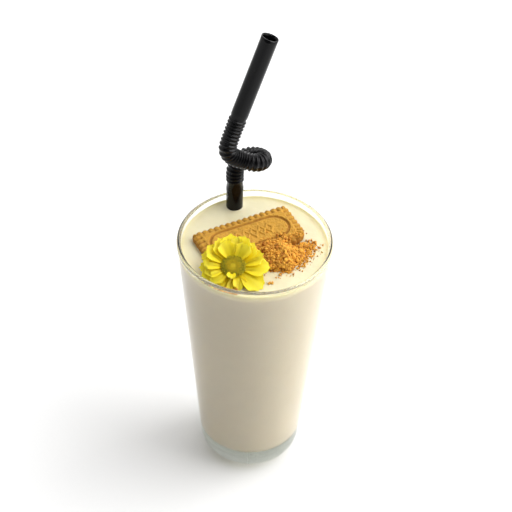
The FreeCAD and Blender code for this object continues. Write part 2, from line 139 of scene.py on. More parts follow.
class GlassSettings(bpy.types.PropertyGroup):
    foot_diameter: length_setting(
        "Foot Diameter", "Width of the wall's line carried down to the table", 0.062, min=0.02)
    wall: length_setting("Wall", "Thickness of the side wall", 0.0025, min=0.001)
    heel_round: length_setting(
        "Heel Round", "Radius where the wall turns under to the foot", 0.011, min=0.001)
    floor_round: length_setting(
        "Floor Round", "Radius inside, where the wall meets the floor", 0.006, min=0.001)
    lip_round: length_setting("Lip Round", "Rounding of the rim's two edges", 0.00115, min=0.0001)
    segments: IntProperty(name="Segments", description="Faces round the glass", default=224, min=24)
    tint: colour_setting("Tint", "Colour of the clear glass", (0.985, 0.995, 0.985))
    body: colour_setting("Body Colour", "Faint grey that thick glass takes on", (0.84, 0.85, 0.80))
    body_density: FloatProperty(
        name="Body Density", description="How strongly thick glass takes on its colour",
        default=70.0, min=0)


class MilkSettings(bpy.types.PropertyGroup):
    into_wall: length_setting(
        "Into the Wall", "How far the drink reaches into the glass wall", 0.0004, min=0)
    meniscus: length_setting("Meniscus", "How far the surface climbs the glass", 0.0011, min=0)
    swell: length_setting("Swell", "Height of the thick drink's slow unevenness", 0.00035, min=0)
    colour: colour_setting("Colour", "Creamy body colour", (0.77, 0.675, 0.515))
    froth: colour_setting("Froth", "Paler colour of the froth on top", (0.78, 0.715, 0.475))


class StrawSettings(bpy.types.PropertyGroup):
    diameter: length_setting("Diameter", "Outside of the plain tube", 0.0102, min=0.002)
    wall: length_setting("Wall", "Thickness of the plastic", 0.0005, min=0.0001)
    crest: length_setting("Rib Crest", "Outside of the flex at its ribs", 0.0109, min=0.002)
    root: length_setting("Rib Root", "Outside of the flex between its ribs", 0.0092, min=0.002)
    collar: length_setting("Collar", "How far the ring below the flex stands out", 0.0002, min=0)
    pitch: length_setting("Rib Pitch", "Distance from rib to rib", 0.0022, min=0.0005)
    left: length_setting("Left", "How far left of the glass's middle the straw stands", 0.0131)
    back: length_setting("Back", "How far behind the middle it enters the drink", 0.0352)
    lean: angle_setting("Lean", "Lean of the lower leg to the back", 7)
    plain_above_rim: length_setting(
        "Plain above Rim", "Plain tube between the rim and the flex", 0.0134)
    loop_reach: length_setting("Loop Reach", "Half of the loop's width from left to right", 0.009)
    loop_depth: length_setting("Loop Depth", "Half of the loop's depth from front to back", 0.0076)
    loop_right: length_setting("Loop Right", "Loop's centre, to the right of the lower leg", 0.0075)
    loop_front: length_setting("Loop Front", "Loop's centre, in front of the lower leg", 0.0039)
    loop_start_rise: length_setting(
        "Loop Start", "Height of the loop's start above the flex's start", 0.0153)
    loop_rise: length_setting("Loop Rise", "Climb of the loop from its start to its end", 0.0097)
    loop_turn: angle_setting("Loop Turn", "Angle that the loop's helix turns through", 218)
    bend_low_drop: length_setting(
        "Bend's Low Point", "How far below the mouthpiece the bend starts", 0.0196)
    bend_high_drop: length_setting(
        "Bend's High Point", "How far below the mouthpiece the bend ends", 0.0129)
    mouthpiece_length: length_setting("Mouthpiece Length", "Plain tube above the flex", 0.054)
    mouthpiece_left: length_setting(
        "Mouthpiece Left", "Where the mouthpiece starts, left of the middle", 0.0118)
    mouthpiece_back: length_setting("Mouthpiece Back", "Where it starts, behind the middle", 0.0304)
    mouthpiece_rise: length_setting(
        "Mouthpiece Rise", "Height of its start above the flex's start", 0.0527)
    side_lean: angle_setting("Side Lean", "Lean of the mouthpiece to the right", 18.6)
    back_lean: angle_setting("Back Lean", "Lean of the mouthpiece to the back", 11)
    colour: colour_setting("Colour", "Colour of the plastic", (0.0022, 0.0022, 0.0026))


class BiscuitSettings(bpy.types.PropertyGroup):
    length: length_setting("Length", "Length over the flutes", 0.0625)
    width: length_setting("Width", "Width over the flutes", 0.031)
    left: length_setting("Left", "Its centre, left of the middle", 0.0030)
    back: length_setting("Back", "Its centre, behind the middle", 0.0050)
    turn: angle_setting("Turn", "How far it is turned on the drink", 27.9)
    corner: length_setting("Corner Round", "Radius of the sound corners", 0.0032, min=0.001)
    worn_corner: length_setting(
        "Worn Corner", "Radius of the one corner that is worn away", 0.0085, min=0.001)
    flutes_long: IntProperty(
        name="Flutes on a Long Side", description="Ribs along a long side", default=17, min=3)
    flutes_short: IntProperty(
        name="Flutes on a Short Side", description="Ribs along a short side", default=8, min=3)
    flute_bulge: length_setting("Flute Bulge", "How far each flute stands out", 0.0004)
    flute_depth: length_setting("Flute Depth", "Depth of the grooves between flutes on top", 0.0009)
    border: length_setting("Border", "Width of the fluted border", 0.0052)
    groove: length_setting("Panel Groove", "Depth of the groove round the panel", 0.0010)
    lozenges: IntProperty(
        name="Lozenges", description="Raised lozenges on the panel", default=6, min=1)
    lozenge_height: length_setting("Lozenge Height", "How far they stand up", 0.0006)
    grain: length_setting("Grain", "Height of the baked surface's grain", 0.00016)
    light: colour_setting("Light", "Colour of the pale baked face", (0.575, 0.300, 0.038))
    # Dark is the colour of the baked edges and also of the painted shade in the groove and between
    # the flutes.
    dark: colour_setting("Dark", "Colour of edges and hollows", (0.30, 0.115, 0.014))


class FlowerSettings(bpy.types.PropertyGroup):
    left: length_setting("Left", "Flower's centre, left of the middle", 0.0120)
    front: length_setting("Front", "Flower's centre, in front of the middle", 0.0243)
    above_milk: length_setting(
        "Above the Drink", "Height of the petals' roots over the drink", 0.0040)
    tilt: angle_setting("Tilt", "How far it leans to the front", 18)
    disc: length_setting("Disc Diameter", "Width of the yellow-green middle", 0.0140)
    disc_height: length_setting("Disc Height", "Height of the disc's edge", 0.0030)
    florets: IntProperty(
        name="Florets", description="Small florets on the disc", default=230, min=10)
    petal: colour_setting("Petal Colour", "Main yellow of the petals", (1.0, 0.71, 0.006))
    petal_pale: colour_setting("Pale Petal", "Pale yellow at the petals' ends", (1.0, 0.82, 0.040))
    floret: colour_setting("Floret Colour", "Mustard green of the florets", (0.46, 0.34, 0.008))


class CrumbSettings(bpy.types.PropertyGroup):
    heap_right: length_setting("Heap Right", "Heap's middle, right of the glass's middle", 0.0150)
    heap_front: length_setting(
        "Heap Front", "Heap's middle, in front of the glass's middle", 0.0102)
    heap_turn: angle_setting("Heap Turn", "How far the heap's long way is turned", 14)
    heap_length: length_setting("Heap Length", "Long way across the heap", 0.0265)
    heap_width: length_setting("Heap Width", "Short way across the heap", 0.022)
    heap_height: length_setting("Heap Height", "Height of the heap over the drink", 0.0082)
    heaped: IntProperty(
        name="Heaped Crumbs", description="Crumbs on the heap", default=3600, min=10)
    spilt: FloatProperty(
        name="Spilt Share", description="Share of the spilt crumbs to make", default=1.0, min=0,
        max=1, subtype="FACTOR")
    smallest: length_setting("Smallest", "Smallest crumb", 0.0005)
    largest: length_setting("Largest", "Largest crumb", 0.0027)
    light: colour_setting("Light", "Palest crumbs", (0.88, 0.455, 0.060))
    dark: colour_setting("Dark", "Darkest crumbs", (0.38, 0.125, 0.010))


class StageSettings(bpy.types.PropertyGroup):
    distance: length_setting("Camera Distance", "From the camera to the point it aims at", 0.95)
    elevation: angle_setting("Camera Elevation", "Angle at which the camera looks down", 42.84)
    roll: angle_setting("Camera Roll", "Turn of the camera about its view", 1.75)
    aim_right: length_setting(
        "Aim Right", "How far right of the glass's axis the camera aims", 0.0009)
    aim_height: length_setting(
        "Aim Height", "Height on the glass's axis that the camera aims at", 0.1608)
    lens: FloatProperty(
        name="Lens", description="Focal length for a 36 mm wide sensor, in millimetres",
        default=112.2, unit="CAMERA")
    world: FloatProperty(
        name="Surround", description="Strength of the white light from all round", default=1.08,
        min=0)
    top: FloatProperty(
        name="Top Power", description="Power of the soft light overhead", default=1.8, min=0,
        unit="POWER")
    key: FloatProperty(
        name="Key Power", description="Power of the soft key light", default=40.0, min=0,
        unit="POWER")


SETTINGS = (
    ("milkshake_glass", GlassSettings),
    ("milkshake_milk", MilkSettings),
    ("milkshake_straw", StrawSettings),
    ("milkshake_biscuit", BiscuitSettings),
    ("milkshake_flower", FlowerSettings),
    ("milkshake_crumbs", CrumbSettings),
    ("milkshake_stage", StageSettings),
)


# ---------------------------------------------------------------- mesh helpers


def new_piece(name, points, faces, smooth=True):
    """An object with a mesh of these points and faces."""
    mesh = bpy.data.meshes.new(name)
    mesh.from_pydata([tuple(point) for point in points], [], faces)
    mesh.polygons.foreach_set("use_smooth", [smooth] * len(mesh.polygons))
    mesh.update()
    piece = bpy.data.objects.new(name, mesh)
    bpy.context.scene.collection.objects.link(piece)
    return piece


def place_piece(piece, material, slot, *nodes):
    """Give a piece its material, fix it to the body and let it stand for nodes; slot is not used.
    """
    piece.data.materials.append(material)
    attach(piece, "root")
    if nodes:
        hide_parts(*nodes)


def paint_value(piece, name, values):
    """Store one number for each vertex, for a material to read."""
    attribute = piece.data.attributes.new(name, "FLOAT", "POINT")
    attribute.data.foreach_set("value", np.asarray(values, dtype=np.float32))


def rounded_outline(corners, steps=10, longest=0.004):
    """Outline through (x, z, rounding) corners, with arcs and with long runs divided."""
    outline = []
    count = len(corners)
    for index, (x, z, rounding) in enumerate(corners):
        here = Vector((x, z))
        if rounding == 0:
            outline.append(here)
            continue
        before = (Vector(corners[index - 1][:2]) - here).normalized()
        after = (Vector(corners[(index + 1) % count][:2]) - here).normalized()
        half = before.angle(after) / 2
        centre = here + (before + after).normalized() * rounding / math.sin(half)
        start = here + before * rounding / math.tan(half) - centre
        sweep = start.angle_signed(here + after * rounding / math.tan(half) - centre)
        for step in range(steps + 1):
            turn = Matrix.Rotation(-sweep * step / steps, 2)
            outline.append(centre + turn @ start)
    divided = [outline[0]]
    for last, point in zip(outline, outline[1:]):
        parts = max(1, math.ceil((point - last).length / longest))
        for part in range(1, parts + 1):
            divided.append(last.lerp(point, part / parts))
    return divided


def lathe(outline, segments):
    """Points and faces of an outline turned once round Z; points on the axis are poles."""
    points = []
    rings = []
    for radius, height in outline:
        if radius < 1e-7:
            rings.append([len(points)] * segments)
            points.append(Vector((0, 0, height)))
            continue
        rings.append(list(range(len(points), len(points) + segments)))
        for step in range(segments):
            angle = 2 * math.pi * step / segments
            points.append(Vector((radius * math.cos(angle), radius * math.sin(angle), height)))
    faces = []
    for low, high in zip(rings, rings[1:]):
        for step in range(segments):
            after = (step + 1) % segments
            face = (low[step], low[after], high[after], high[step])
            faces.append(tuple(dict.fromkeys(face)))
    return points, [face for face in faces if len(face) > 2]


def tube_rings(path, radii, segments):
    """Rings of points round a path, with a frame that doesn't twist."""
    path = np.asarray(path)
    tangents = np.gradient(path, axis=0)
    tangents /= np.linalg.norm(tangents, axis=1)[:, None]
    side = np.array((1.0, 0.0, 0.0))
    angles = np.linspace(0, 2 * math.pi, segments, endpoint=False)
    rings = []
    for centre, tangent, radius in zip(path, tangents, radii):
        side = side - tangent * side.dot(tangent)
        side /= np.linalg.norm(side)
        other = np.cross(tangent, side)
        rings.append(centre + radius * (np.cos(angles)[:, None] * side
                                        + np.sin(angles)[:, None] * other))
    return rings


def ring_faces(first, count, segments, closed=False):
    """Faces through rings numbered from first; a closed skin joins the last to the first."""
    faces = []
    for ring in range(count if closed else count - 1):
        low = first + ring * segments
        high = first + (ring + 1) % count * segments
        for step in range(segments):
            after = (step + 1) % segments
            faces.append((low + step, low + after, high + after, high + step))
    return faces


def grid(rows, columns):
    """Faces of a grid of points numbered row by row, and the numbers round its edge."""
    wide = columns + 1
    faces = []
    for row in range(rows):
        for column in range(columns):
            low = row * wide + column
            faces.append((low, low + 1, low + 1 + wide, low + wide))
    rim = list(range(columns))
    rim += [row * wide + columns for row in range(rows)]
    rim += [rows * wide + column for column in range(columns, 0, -1)]
    rim += [row * wide for row in range(rows, 0, -1)]
    return faces, rim


def clamped_spline(points, first_slope, last_slope, spacing):
    """Evenly spaced points on a smooth curve with set directions at its two ends."""
    points = np.asarray(points, dtype=float)
    gaps = np.linalg.norm(np.diff(points, axis=0), axis=1)
    count = len(points)
    system = np.eye(count)
    slopes = np.zeros_like(points)
    slopes[0] = first_slope
    slopes[-1] = last_slope
    for index in range(1, count - 1):
        before, after = gaps[index - 1], gaps[index]
        system[index, index - 1:index + 2] = (after, 2 * (before + after), before)
        step_in = (points[index] - points[index - 1]) / before
        step_out = (points[index + 1] - points[index]) / after
        slopes[index] = 3 * (after * step_in + before * step_out)
    slopes = np.linalg.solve(system, slopes)
    dense = []
    for index in range(count - 1):
        share = np.linspace(0, 1, SPLINE_STEPS, endpoint=False)[:, None]
        gap = gaps[index]
        dense.append((2 * share**3 - 3 * share**2 + 1) * points[index]
                     + (share**3 - 2 * share**2 + share) * gap * slopes[index]
                     + (3 * share**2 - 2 * share**3) * points[index + 1]
                     + (share**3 - share**2) * gap * slopes[index + 1])
    dense.append(points[-1:])
    dense = np.concatenate(dense)
    along = np.concatenate(([0], np.cumsum(np.linalg.norm(np.diff(dense, axis=0), axis=1))))
    wanted = np.linspace(0, along[-1], max(2, round(along[-1] / spacing) + 1))
    return np.stack([np.interp(wanted, along, dense[:, axis]) for axis in range(3)], axis=1)


def smooth_step(low, high, value):
    """0 below low, 1 above high, and a smooth rise between."""
    share = min(1.0, max(0.0, (value - low) / (high - low)))
    return share * share * (3 - 2 * share)


def grain(x, y, z, scale, depth=3):
    """Fractal noise at a place in metres, where scale is the size of its lumps."""
    place = Vector((x, y, z)) / scale
    return noise.fractal(place, 0.9, 2.0, depth, noise_basis="PERLIN_ORIGINAL")


# ---------------------------------------------------------------- material helpers


class Finish:
    """A material under construction: a principled shader and the nodes that feed it."""

    def __init__(self, name):
        self.material = bpy.data.materials.new(name)
        self.material.use_nodes = True
        self.nodes = self.material.node_tree.nodes
        self.links = self.material.node_tree.links
        self.shader = self.nodes["Principled BSDF"]
        self.place = self.nodes.new("ShaderNodeTexCoord").outputs["Object"]

    def set(self, **values):
        """Set the shader's own sockets: Base_Color stands for the Base Color socket."""
        for name, value in values.items():
            socket = self.shader.inputs[name.replace("_", " ")]
            if isinstance(value, bpy.types.NodeSocket):
                self.links.new(value, socket)
            elif socket.type == "RGBA":
                socket.default_value = (*value, 1)
            else:
                socket.default_value = value

    def noise(self, size, detail=3.0, roughness=0.5, stretch=(1, 1, 1)):
        """Fractal noise whose lumps are about this size in metres."""
        mapping = self.nodes.new("ShaderNodeMapping")
        mapping.inputs["Scale"].default_value = stretch
        self.links.new(self.place, mapping.inputs["Vector"])
        texture = self.nodes.new("ShaderNodeTexNoise")
        texture.inputs["Scale"].default_value = 1 / size
        texture.inputs["Detail"].default_value = detail
        texture.inputs["Roughness"].default_value = roughness
        self.links.new(mapping.outputs["Vector"], texture.inputs["Vector"])
        return texture.outputs["Fac"]

    def cells(self, size):
        """Distance to the nearest of many scattered points this far apart, in metres."""
        texture = self.nodes.new("ShaderNodeTexVoronoi")
        texture.inputs["Scale"].default_value = 1 / size
        self.links.new(self.place, texture.inputs["Vector"])
        return texture.outputs["Distance"]

    def attribute(self, name):
        """The number that the mesh holds under this name."""
        node = self.nodes.new("ShaderNodeAttribute")
        node.attribute_name = name
        return node.outputs["Fac"]

    def each_part(self):
        """A random number for each separate part of the mesh."""
        return self.nodes.new("ShaderNodeNewGeometry").outputs["Random Per Island"]

    def ramp(self, factor, *stops):
        """Colours along a factor; each stop is (position, colour)."""
        node = self.nodes.new("ShaderNodeValToRGB")
        node.color_ramp.elements[0].position = stops[0][0]
        node.color_ramp.elements[0].color = (*stops[0][1], 1)
        node.color_ramp.elements[1].position = stops[-1][0]
        node.color_ramp.elements[1].color = (*stops[-1][1], 1)
        for position, colour in stops[1:-1]:
            node.color_ramp.elements.new(position).color = (*colour, 1)
        self.links.new(factor, node.inputs["Fac"])
        return node.outputs["Color"]

    def spread(self, factor, low, high, from_low=0.0, from_high=1.0):
        """A factor carried over to another range."""
        node = self.nodes.new("ShaderNodeMapRange")
        node.inputs["From Min"].default_value = from_low
        node.inputs["From Max"].default_value = from_high
        node.inputs["To Min"].default_value = low
        node.inputs["To Max"].default_value = high
        self.links.new(factor, node.inputs["Value"])
        return node.outputs["Result"]

    def mix(self, factor, first, second, blend="MIX"):
        """Two colours mixed by a factor; either colour may be another node's output."""
        node = self.nodes.new("ShaderNodeMix")
        node.data_type = "RGBA"
        node.blend_type = blend
        sockets = (node.inputs[0], node.inputs[6], node.inputs[7])
        for socket, value in zip(sockets, (factor, first, second)):
            if isinstance(value, bpy.types.NodeSocket):
                self.links.new(value, socket)
            elif socket.type == "RGBA":
                socket.default_value = (*value, 1)
            else:
                socket.default_value = value
        return node.outputs[2]

    def let_lamps_through(self, tint):
        """Let lamps shine through the glass, as they do, onto what is in and under it."""
        clear = self.nodes.new("ShaderNodeBsdfTransparent")
        clear.inputs["Color"].default_value = (*tint, 1)
        rays = self.nodes.new("ShaderNodeLightPath")
        both = self.nodes.new("ShaderNodeMixShader")
        self.links.new(rays.outputs["Is Shadow Ray"], both.inputs["Fac"])
        self.links.new(self.shader.outputs["BSDF"], both.inputs[1])
        self.links.new(clear.outputs["BSDF"], both.inputs[2])
        self.links.new(both.outputs["Shader"], self.nodes["Material Output"].inputs["Surface"])

    def fill(self, colour, density):
        """Colour what light passes through inside the piece."""
        body = self.nodes.new("ShaderNodeVolumeAbsorption")
        body.inputs["Color"].default_value = (*colour, 1)
        body.inputs["Density"].default_value = density
        self.links.new(body.outputs["Volume"], self.nodes["Material Output"].inputs["Volume"])

    def bump(self, height, depth, under=None):
        """Small relief of this depth in metres, over another bump if one is given."""
        node = self.nodes.new("ShaderNodeBump")
        node.inputs["Distance"].default_value = depth
        node.inputs["Strength"].default_value = 1.0
        self.links.new(height, node.inputs["Height"])
        if under is not None:
            self.links.new(under, node.inputs["Normal"])
        return node.outputs["Normal"]


def shade(colour, amount):
    """A colour made darker or lighter by a factor."""
    return tuple(min(1.0, part * amount) for part in colour)


# ---------------------------------------------------------------- glass


def glass_finish(tint, body, density):
    """Clear soda glass with faint handling marks, faintly grey where it is thick."""
    finish = Finish("Clear Glass")
    marks = finish.noise(0.018, detail=5)
    finish.set(
        Base_Color=tint, Transmission_Weight=1.0, IOR=1.5,
        Roughness=finish.spread(marks, 0.0, 0.02, 0.35, 0.75))
    finish.let_lamps_through(shade(tint, 0.97))
    finish.fill(body, density)
    return finish.material


def wall_line(height):
    """Outer radius of the glass's straight wall at a height."""
    foot = bpy.context.scene.milkshake_glass.foot_diameter / 2
    rim = (GLASS_HIGH.x - GLASS_LOW.x) / 2
    return foot + (rim - foot) * height / GLASS_HIGH.z


def inner_line(height):
    """Inner radius of the glass at a height."""
    return wall_line(height) - bpy.context.scene.milkshake_glass.wall


class MILKSHAKE_OT_glass(bpy.types.Operator):
    """Add the tapered tumbler with its thick rounded base"""
    bl_idname = "milkshake.glass"
    bl_label = "Glass"

    def execute(self, context):
        s = context.scene.milkshake_glass
        floor = MILK_LOW.z
        top = GLASS_HIGH.z
        outline = rounded_outline((
            (0, 0, 0),
            (wall_line(0), 0, s.heel_round),
            (wall_line(top), top, s.lip_round),
            (inner_line(top), top, s.lip_round),
            (inner_line(floor), floor, s.floor_round),
            (0, floor, 0)))
        piece = new_piece("glass_tumbler", *lathe(outline, s.segments))
        place_piece(piece, glass_finish(s.tint, s.body, s.body_density), "clear_glass", "glass")
        return {"FINISHED"}


# ---------------------------------------------------------------- milkshake


def milk_finish(colour, froth):
    """Thick creamy drink: soft, a little glossy, with fine froth on top, and painted shade: a
    darker, yellower band where the top meets the glass.
    """
    finish = Finish("Milkshake")
    cloud = finish.noise(0.011, detail=4)
    body = finish.mix(cloud, shade(colour, 0.96), shade(colour, 1.03))
    top = finish.mix(finish.noise(0.006, detail=5), shade(froth, 0.96), froth)
    pits = finish.cells(0.0011)
    froth_bump = finish.bump(finish.spread(pits, 0.0, 1.0, 0.0, 0.35), 0.00006)
    # Painted shade: the top turns darker and yellower in a band where it meets the glass.
    top = finish.mix(finish.attribute("edge"), top, (0.74, 0.66, 0.36))
    finish.set(
        Base_Color=finish.mix(finish.attribute("froth"), body, top),
        Roughness=finish.spread(cloud, 0.30, 0.42),
        Subsurface_Weight=0.35, Subsurface_Scale=0.004, Subsurface_Radius=(1.0, 0.8, 0.5),
        Normal=finish.bump(finish.noise(0.004, detail=3), 0.00012, under=froth_bump))
    return finish.material


def straw_entry(context):
    """Where the straw's centre passes through the drink's surface."""
    s = context.scene.milkshake_straw
    return Vector((-s.left, s.back, MILK_HIGH.z))


def milk_height(context, x, y):
    """Height of the drink's surface: level, lifted at the glass and at the straw."""
    s = context.scene.milkshake_milk
    edge = inner_line(MILK_HIGH.z) - math.hypot(x, y)
    climb = s.meniscus * math.exp(-max(edge, 0) / CLIMB_REACH)
    entry = straw_entry(context)
    off = math.hypot(x - entry.x, y - entry.y) - context.scene.milkshake_straw.diameter / 2
    climb += STRAW_CLIMB * s.meniscus * math.exp(-max(off, 0) / STRAW_CLIMB_REACH)
    return MILK_HIGH.z + climb + s.swell * grain(x, y, 0.0, 0.016)


class MILKSHAKE_OT_drink(bpy.types.Operator):
    """Add the thick drink, which reaches just into the glass so that no gap shows"""
    bl_idname = "milkshake.drink"
    bl_label = "Milkshake"

    def execute(self, context):
        s = context.scene.milkshake_milk
        glass = context.scene.milkshake_glass
        floor = MILK_LOW.z - s.into_wall
        top_radius = inner_line(MILK_HIGH.z) + s.into_wall
        sides = rounded_outline((
            (0, floor, 0),
            (inner_line(floor) + s.into_wall, floor, glass.floor_round),
            (top_radius, MILK_HIGH.z, 0)))
        surface = []
        for ring in range(1, SURFACE_RINGS + 1):
            inwards = (ring / SURFACE_RINGS) ** 1.35
            surface.append(Vector((top_radius * (1 - inwards), MILK_HIGH.z)))
        surface[-1].x = 0
        points, faces = lathe(sides + surface, glass.segments)
        level = MILK_HIGH.z - 1e-6
        froth, edge = [], []
        for point in points:
            on_top = point.z > level
            froth.append(1.0 if on_top else 0.0)
            # Painted shade for the top: a darker, yellower band where it meets the glass, stored as
            # one number per point.
            from_glass = inner_line(MILK_HIGH.z) - math.hypot(point.x, point.y)
            edge.append(0.75 * math.exp(-max(0, from_glass - 0.0006) / 0.0021))
            if on_top:
                point.z = milk_height(context, point.x, point.y)
        piece = new_piece("milkshake_drink", points, faces)
        paint_value(piece, "froth", froth)
        paint_value(piece, "edge", edge)
        place_piece(piece, milk_finish(s.colour, s.froth), "milkshake_cream", "milkshake")
        return {"FINISHED"}


# ---------------------------------------------------------------- straw


def straw_finish(colour):
    """Glossy moulded black plastic with faint scuffs."""
    finish = Finish("Black Plastic")
    scuffs = finish.noise(0.004, detail=6, stretch=(1, 1, 0.35))
    finish.set(
        Base_Color=finish.mix(scuffs, colour, shade(colour, 1.6)),
        Roughness=finish.spread(scuffs, 0.13, 0.22, 0.3, 0.7),
        Specular_IOR_Level=0.2, IOR=1.49,
        Normal=finish.bump(finish.noise(0.0011, detail=2), 0.00001))
    return finish.material


def straw_route(context):
    """Centre of the straw from its lower end, and each place's outer radius."""
    s = context.scene.milkshake_straw
    axis = Vector((0, math.sin(s.lean), math.cos(s.lean)))
    entry = straw_entry(context)
    lift = s.diameter / 2 * axis.y
    low = entry + axis * ((STRAW_LOW.z + lift - entry.z) / axis.z)
    start = entry + axis * ((GLASS_HIGH.z + s.plain_above_rim - entry.z) / axis.z)
    along = Vector((math.tan(s.side_lean), math.tan(s.back_lean), 1)).normalized()
    end = Vector((-s.mouthpiece_left, s.mouthpiece_back, start.z + s.mouthpiece_rise))
    high = end + along * s.mouthpiece_length
    marks = [start, start + axis * s.loop_start_rise / 2]
    for step in range(LOOP_MARKS + 1):
        share = step / LOOP_MARKS
        angle = s.loop_turn * (0.5 - share)
        marks.append(Vector((
            s.loop_right - s.left + s.loop_reach * math.cos(angle),
            start.y - s.loop_front + s.loop_depth * math.sin(angle),
            start.z + s.loop_start_rise + s.loop_rise * share)))
    marks.append(end - along * s.bend_low_drop + BEND_LOW_SHIFT)
    marks.append(end - along * s.bend_high_drop + BEND_HIGH_SHIFT)
    marks.append(end)
    flex = clamped_spline(marks, axis, along, s.pitch / RINGS_PER_RIB)
    ribs = round(len(flex) / RINGS_PER_RIB)
    phase = np.linspace(0, 2 * math.pi * ribs, len(flex))
    wave = (0.5 - 0.5 * np.cos(phase)) ** 0.8
    radii = (s.root + (s.crest - s.root) * wave) / 2
    plain = s.diameter / 2
    lower = [low.lerp(start, step / LOWER_RINGS) for step in range(LOWER_RINGS)]
    upper = [end.lerp(high, step / UPPER_RINGS) for step in range(1, UPPER_RINGS + 1)]
    route = np.concatenate((np.array(lower), flex, np.array(upper)))
    radii = np.concatenate((np.full(LOWER_RINGS, plain), radii, np.full(UPPER_RINGS, plain)))
    radii[LOWER_RINGS - 1] = plain + s.collar
    return route, radii


class MILKSHAKE_OT_straw(bpy.types.Operator):
    """Add the black bendy straw, curled into a loop at its corrugated part"""
    bl_idname = "milkshake.straw"
    bl_label = "Straw"

    def execute(self, context):
        s = context.scene.milkshake_straw
        route, radii = straw_route(context)
        outer = tube_rings(route, radii, STRAW_SIDES)
        inner = tube_rings(route, radii - s.wall, STRAW_SIDES)
        lips = [tube_rings(route, radii - s.wall / 4, STRAW_SIDES)[-1]]
        rings = outer + lips + inner[::-1]
        faces = ring_faces(0, len(rings), STRAW_SIDES, closed=True)
        piece = new_piece("bendy_straw", np.concatenate(rings), faces)
        place_piece(piece, straw_finish(s.colour), "black_plastic", "straw")
        return {"FINISHED"}


# ---------------------------------------------------------------- biscuit


def biscuit_finish(light, dark):
    """Baked spiced biscuit: sandy face, browner baked edges, painted shade in the hollows, open
    grain.
    """
    finish = Finish("Baked Biscuit")
    mottle = finish.noise(0.0035, detail=6, roughness=0.6)
    face = finish.mix(finish.spread(mottle, 0, 1, 0.3, 0.7), shade(light, 0.84), shade(light, 1.14))
    specks = finish.ramp(finish.noise(0.0009, detail=2), (0.28, (1, 1, 1)), (0.36, (0, 0, 0)))
    face = finish.mix(specks, face, shade(dark, 1.3))
    coarse = finish.bump(finish.noise(0.0014, detail=5, roughness=0.65), 0.00035)
    # The face darkens by one number per point: browner baked edges and painted shade in the
    # hollows.
    finish.set(
        Base_Color=finish.mix(finish.attribute("browning_and_shade"), face, dark),
        Roughness=finish.spread(mottle, 0.72, 0.9),
        Specular_IOR_Level=0.3,
        Normal=finish.bump(finish.noise(0.0004, detail=3), 0.00012, under=coarse))
    return finish.material


def stadium_distance(x, y, length, width):
    """Distance from a strip with round ends: below 0 inside it."""
    straight = (length - width) / 2
    off = max(abs(x) - straight, 0)
    return math.hypot(off, y) - width / 2


def lozenge_rise(s, x, y, length, width):
    """0 to 1 height of the row of raised lozenges."""
    room = length - width
    step = room / (s.lozenges - 1)
    nearest = round((x + room / 2) / step)
    nearest = min(max(nearest, 0), s.lozenges - 1)
    off_x = abs(x + room / 2 - nearest * step) / LOZENGE_HALF_LENGTH
    off_y = abs(y) / LOZENGE_HALF_WIDTH
    ring = abs(off_x + off_y - 0.72)
    return 1 - smooth_step(0.14, 0.34, ring)


def biscuit_edge(s, x, y):
    """Rounded place of a point of the oblong, its edge distance, way out and flute wave."""
    corner = s.worn_corner if x > 0 and y < 0 else s.corner
    straight_x, straight_y = s.length / 2 - corner, s.width / 2 - corner
    off_x, off_y = abs(x) - straight_x, abs(y) - straight_y
    quarter = corner * math.pi / 2
    if off_x > 0 and off_y > 0:
        reach = max(off_x, off_y)
        out = Vector((off_x, off_y)).normalized()
        place = Vector((straight_x, straight_y)) + out * reach
        edge = corner - reach
        along = straight_x + corner * math.atan2(off_x, off_y)
    elif off_x - corner > off_y - corner:
        out, edge, place = Vector((1, 0)), corner - off_x, Vector((abs(x), abs(y)))
        along = straight_x + quarter + straight_y - abs(y)
    else:
        out, edge, place = Vector((0, 1)), corner - off_y, Vector((abs(x), abs(y)))
        along = abs(x)
    perimeter = straight_x + quarter + straight_y
    flutes = round((s.flutes_long + s.flutes_short) / 2)
    wave = abs(math.cos(math.pi * along * flutes / perimeter))
    place = place - out * s.flute_bulge * (1 - wave ** 0.7) * math.exp(-edge / 0.0014)
    return math.copysign(place.x, x), math.copysign(place.y, y), edge, wave


def biscuit_top(s, x, y, edge, wave, thickness):
    """Height of the biscuit's face and how dark it is there: browner near the baked edge, with
    painted shade in the panel groove and between the flutes and painted light on the raised
    lozenges.
    """
    ridge = wave ** 0.9
    border = 1 - smooth_step(s.border * 0.72, s.border * 0.95, edge)
    height = thickness - BORDER_STEP * border
    height -= s.flute_depth * (1 - ridge) * border
    height -= EDGE_DROP * (1 - smooth_step(0, EDGE_WIDTH, edge)) ** 1.5
    panel_length = s.length - 2 * s.border
    panel_width = s.width - 2 * s.border
    rim = stadium_distance(x, y, panel_length, panel_width)
    trough = 1 - smooth_step(0.0003, 0.0012, abs(rim + GROOVE_INSET))
    height -= s.groove * trough
    raised = lozenge_rise(s, x, y, panel_length - panel_width * 0.3, panel_width)
    raised *= smooth_step(0.001, 0.002, -rim - 0.0014)
    height += s.lozenge_height * raised
    rough = grain(x, y, 0, 0.0022, 4)
    height += s.grain * rough * 1.6 + 0.0002 * grain(x, y, 0.01, 0.009, 2)
    # Browner near the baked edge; painted shade in the panel groove and between the flutes; painted
    # light makes the raised lozenges paler.
    brown_and_shade = 0.70 * trough + 0.30 * (1 - smooth_step(0, 0.0013, edge))
    brown_and_shade += 0.5 * (1 - ridge) * border - 0.15 * raised
    return height, min(1, max(0, brown_and_shade + 0.14 * rough))


